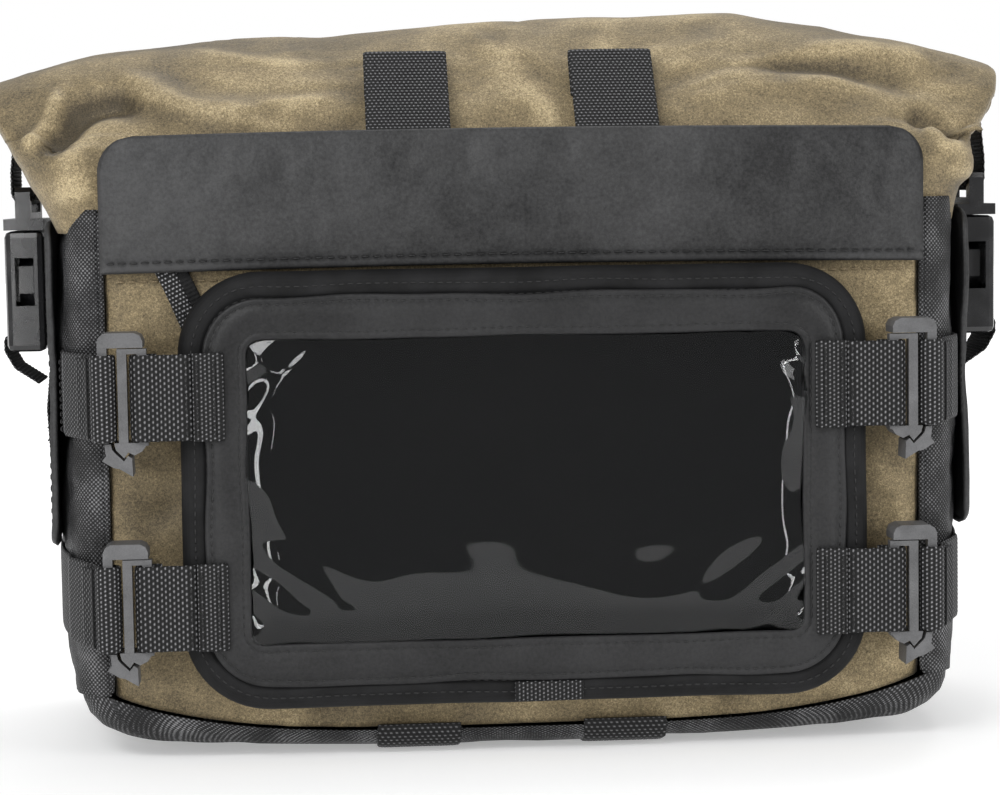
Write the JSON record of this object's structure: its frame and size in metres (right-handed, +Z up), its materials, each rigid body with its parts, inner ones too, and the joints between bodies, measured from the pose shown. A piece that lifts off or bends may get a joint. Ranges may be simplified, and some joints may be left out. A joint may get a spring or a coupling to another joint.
{
  "type": "motorcycle tank bag",
  "caption": "Roll-top waxed canvas tank bag with a removable clear-window pouch on hook buckles, a zipped front pocket and side-release roll buckles.",
  "frame": {"origin": "middle of the bag's foot, at the underside of the two back straps that it stands on", "axes": "+X to the viewer's right along the roll, +Y from the front with the window pouch towards the back, +Z up"},
  "size_m": [0.314, 0.133, 0.2215],
  "materials": {
    "waxed_canvas": "waxed cotton canvas, mottled matt with a slight waxy sheen",
    "faux_leather": "matt black faux leather with a fine grain",
    "black_nylon": "coarse black nylon weave, matt",
    "webbing": "ribbed dark grey webbing, matt",
    "hook_plastic": "moulded grey-black plastic, satin",
    "buckle_plastic": "moulded black plastic, gloss",
    "clear_vinyl": "clear flexible vinyl film, gloss",
    "lining": "coated dark grey lining cloth",
    "foam": "closed-cell foam and board stiffeners, out of sight",
    "zip": "black coil zip"
  },
  "bodies": {
    "root": {"front_canvas_panel": "waxed_canvas", "front_wall": "lining", "left_gusset": "black_nylon", "right_gusset": "black_nylon", "left_side_wing": "faux_leather", "right_side_wing": "faux_leather", "bottom_panel": "black_nylon", "bottom_board": "foam", "back_panel": "black_nylon", "back_foam": "foam", "main_liner": "lining", "canvas_collar": "waxed_canvas", "yoke_panel": "faux_leather", "yoke_foam": "foam", "zip_tape": "zip", "left_top_loop": "webbing", "right_top_loop": "webbing", "left_back_strap": "webbing", "right_back_strap": "webbing", "side_strap_left_upper": "webbing", "side_strap_left_lower": "webbing", "side_strap_right_upper": "webbing", "side_strap_right_lower": "webbing", "hook_frame_left_upper": "hook_plastic", "hook_frame_left_lower": "hook_plastic", "hook_frame_right_upper": "hook_plastic", "hook_frame_right_lower": "hook_plastic", "left_buckle_female": "buckle_plastic", "right_buckle_female": "buckle_plastic", "left_buckle_strap": "webbing", "right_buckle_strap": "webbing"},
    "roll": {"rolled_top": "waxed_canvas", "roll_stiffener": "foam", "left_buckle_male": "buckle_plastic", "right_buckle_male": "buckle_plastic", "left_roll_strap": "webbing", "right_roll_strap": "webbing"},
    "pouch": {"pouch_back": "lining", "pouch_band": "black_nylon", "pouch_frame": "faux_leather", "pouch_window": "clear_vinyl", "pouch_tab": "webbing", "pouch_strap_left_upper": "webbing", "pouch_strap_left_lower": "webbing", "pouch_strap_right_upper": "webbing", "pouch_strap_right_lower": "webbing", "hook_link_left_upper": "hook_plastic", "hook_link_left_lower": "hook_plastic", "hook_link_right_upper": "hook_plastic", "hook_link_right_lower": "hook_plastic"},
    "zip_slider": {"zip_slider": "zip"},
    "zip_puller": {"zip_puller": "webbing"},
    "hook_latch_left_upper": {"hook_latch_left_upper": "hook_plastic"},
    "hook_latch_left_lower": {"hook_latch_left_lower": "hook_plastic"},
    "hook_latch_right_upper": {"hook_latch_right_upper": "hook_plastic"},
    "hook_latch_right_lower": {"hook_latch_right_lower": "hook_plastic"},
    "left_prong_front": {"left_prong_front": "buckle_plastic"},
    "left_prong_back": {"left_prong_back": "buckle_plastic"},
    "right_prong_front": {"right_prong_front": "buckle_plastic"},
    "right_prong_back": {"right_prong_back": "buckle_plastic"}
  },
  "joints": [
    {"name": "roll_lift", "type": "slide", "parent": "root", "child": "roll", "axis": [0, 0, 1], "range_m": [0, 0.07]},
    {"name": "pouch_release", "type": "slide", "parent": "root", "child": "pouch", "axis": [0, -1, 0], "range_m": [0, 0.06]},
    {"name": "zip_travel", "type": "slide", "parent": "root", "child": "zip_slider", "axis": [1, 0, 0], "range_m": [0, 0.19]},
    {"name": "zip_puller_swing", "type": "hinge", "parent": "zip_slider", "child": "zip_puller", "pos_m": [-0.1045, -0.046, 0.152], "axis": [0, 1, 0], "range_deg": [-15, 65]},
    {"name": "hook_latch_left_upper_flex", "type": "hinge", "parent": "root", "child": "hook_latch_left_upper", "pos_m": [-0.1199, -0.0627, 0.0972], "axis": [0, 1, 0], "range_deg": [0, 12], "stiffness_Nm_per_rad": 0.08},
    {"name": "hook_latch_left_lower_flex", "type": "hinge", "parent": "root", "child": "hook_latch_left_lower", "pos_m": [-0.1199, -0.0627, 0.036], "axis": [0, 1, 0], "range_deg": [0, 12], "stiffness_Nm_per_rad": 0.08},
    {"name": "hook_latch_right_upper_flex", "type": "hinge", "parent": "root", "child": "hook_latch_right_upper", "pos_m": [0.1199, -0.0627, 0.0972], "axis": [0, 1, 0], "range_deg": [-12, 0], "stiffness_Nm_per_rad": 0.08},
    {"name": "hook_latch_right_lower_flex", "type": "hinge", "parent": "root", "child": "hook_latch_right_lower", "pos_m": [0.1199, -0.0627, 0.036], "axis": [0, 1, 0], "range_deg": [-12, 0], "stiffness_Nm_per_rad": 0.08},
    {"name": "left_prong_front_flex", "type": "hinge", "parent": "roll", "child": "left_prong_front", "pos_m": [-0.148, -0.0011, 0.158], "axis": [1, 0, 0], "range_deg": [0, 6], "stiffness_Nm_per_rad": 0.08},
    {"name": "left_prong_back_flex", "type": "hinge", "parent": "roll", "child": "left_prong_back", "pos_m": [-0.148, 0.0151, 0.158], "axis": [1, 0, 0], "range_deg": [-6, 0], "stiffness_Nm_per_rad": 0.08},
    {"name": "right_prong_front_flex", "type": "hinge", "parent": "roll", "child": "right_prong_front", "pos_m": [0.148, -0.0011, 0.158], "axis": [1, 0, 0], "range_deg": [0, 6], "stiffness_Nm_per_rad": 0.08},
    {"name": "right_prong_back_flex", "type": "hinge", "parent": "roll", "child": "right_prong_back", "pos_m": [0.148, 0.0151, 0.158], "axis": [1, 0, 0], "range_deg": [-6, 0], "stiffness_Nm_per_rad": 0.08}
  ],
  "couplings": [
    {"joint": "left_prong_back_flex", "follows": "left_prong_front_flex", "ratio": -1},
    {"joint": "right_prong_back_flex", "follows": "right_prong_front_flex", "ratio": -1}
  ]
}
